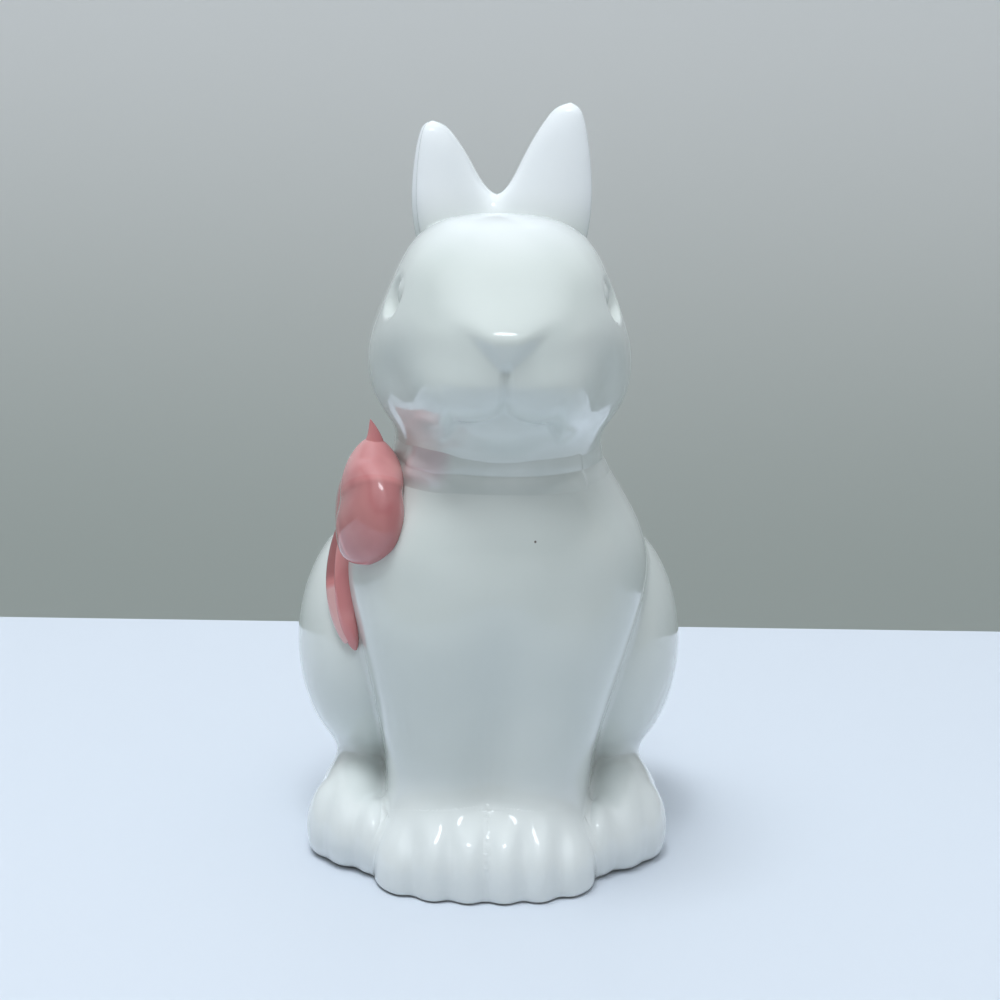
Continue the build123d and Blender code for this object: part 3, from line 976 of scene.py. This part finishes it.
# the wall pales upwards
paint, paintTree, paintShader = newMaterial("grey_wall_matt_paint", {"Roughness": 0.9})
upward = ramp(paintTree, objectPlace(paintTree)[1].outputs["Z"], -0.2, 0.2)
paintColour = blend(paintTree, upward, linear(stage["wallLow"]), linear(stage["wallHigh"]))
paintTree.links.new(paintColour, paintShader.inputs["Base Color"])
side, foot, top = stage["wallHalf"], stage["wallFoot"], stage["wallTop"]
wallCorners = [(-side, wall, foot), (side, wall, foot), (side, wall, top), (-side, wall, top)]
flatPiece("backdrop", wallCorners, (0, 0, 0), paint)

world = bpy.data.worlds.new("room")
bpy.context.scene.world = world
world.use_nodes = True
world.node_tree.nodes["Background"].inputs["Color"].default_value = light["roomColour"]
world.node_tree.nodes["Background"].inputs["Strength"].default_value = light["room"]

# the ceiling glows brightest overhead and fades out to the sides, and a long soft tube in its
# middle gives the highlights
glowValues = {"Base Color": (0, 0, 0, 1), "Roughness": 1.0, "Emission Color": (*light["colour"], 1)}
glow, glowTree, glowShader = newMaterial("ceiling_glow", glowValues)
glowPlace, _ = objectPlace(glowTree)
away = addNode(glowTree, "ShaderNodeVectorMath", {"operation": "LENGTH"}, {0: glowPlace})
wide = ramp(glowTree, away.outputs["Value"], 0.3, 3.2, light["ceiling"], 0.0)
narrow = light["tubeNarrow"]
ovalInputs = {0: glowPlace, 1: (1, narrow, 1), 2: (0, narrow * light["tubeFront"], 0)}
oval = addNode(glowTree, "ShaderNodeVectorMath", {"operation": "MULTIPLY_ADD"}, ovalInputs)
nearTube = addNode(glowTree, "ShaderNodeVectorMath", {"operation": "LENGTH"}, {0: oval.outputs["Vector"]})
tube = ramp(glowTree, nearTube.outputs["Value"], 0.3, 0.5, light["tube"], 0.0)
strength = addNode(glowTree, "ShaderNodeMath", {"operation": "ADD"}, {0: wide, 1: tube})
glowTree.links.new(strength.outputs["Value"], glowShader.inputs["Emission Strength"])
edge = light["ceilingHalf"]
ceilingCorners = [(-edge, edge, 0), (edge, edge, 0), (edge, -edge, 0), (-edge, -edge, 0)]
flatPiece("ceiling", ceilingCorners, (0, -light["front"], light["height"]), glow)

# a wide lamp overhead, a little to the left, puts the chest in the shade of the head
softbox = bpy.data.lights.new("softbox", "AREA")
softbox.shape = "RECTANGLE"
softbox.size, softbox.size_y = light["lampSize"]
softbox.energy, softbox.color = light["lamp"], light["colour"]
lamp = bpy.data.objects.new("softbox", softbox)
lamp.location = light["lampPlace"]
lamp.rotation_euler = (lamp.location - Vector((0, 0, 0.1))).to_track_quat("Z", "Y").to_euler()
lamp.visible_glossy = False
bpy.context.collection.objects.link(lamp)

# Camera: aimed and rolled as the photograph was taken

view = {
    "azimuth": -2.0,
    "elevation": 13.0,
    "roll": 1.4,
    "distance": 0.520,
    "aim": (0.0, -0.024, 0.0869),
    "pixels": 2334,
}
azimuth, elevation, roll = (math.radians(view[key]) for key in ("azimuth", "elevation", "roll"))
level = Vector((math.sin(azimuth), -math.cos(azimuth), 0))
outward = level * math.cos(elevation) + Vector((0, 0, math.sin(elevation)))
lens = bpy.data.cameras.new("camera")
lens.lens = lens.sensor_width * view["pixels"] / 1000
camera = bpy.data.objects.new("camera", lens)
camera.location = Vector(view["aim"]) + outward * view["distance"]
facing = outward.to_track_quat("Z", "Y").to_matrix()
camera.rotation_euler = (facing @ Matrix.Rotation(roll, 3, "Z")).to_euler()
bpy.context.collection.objects.link(camera)
bpy.context.scene.camera = camera
bpy.context.scene.view_settings.view_transform = "Standard"
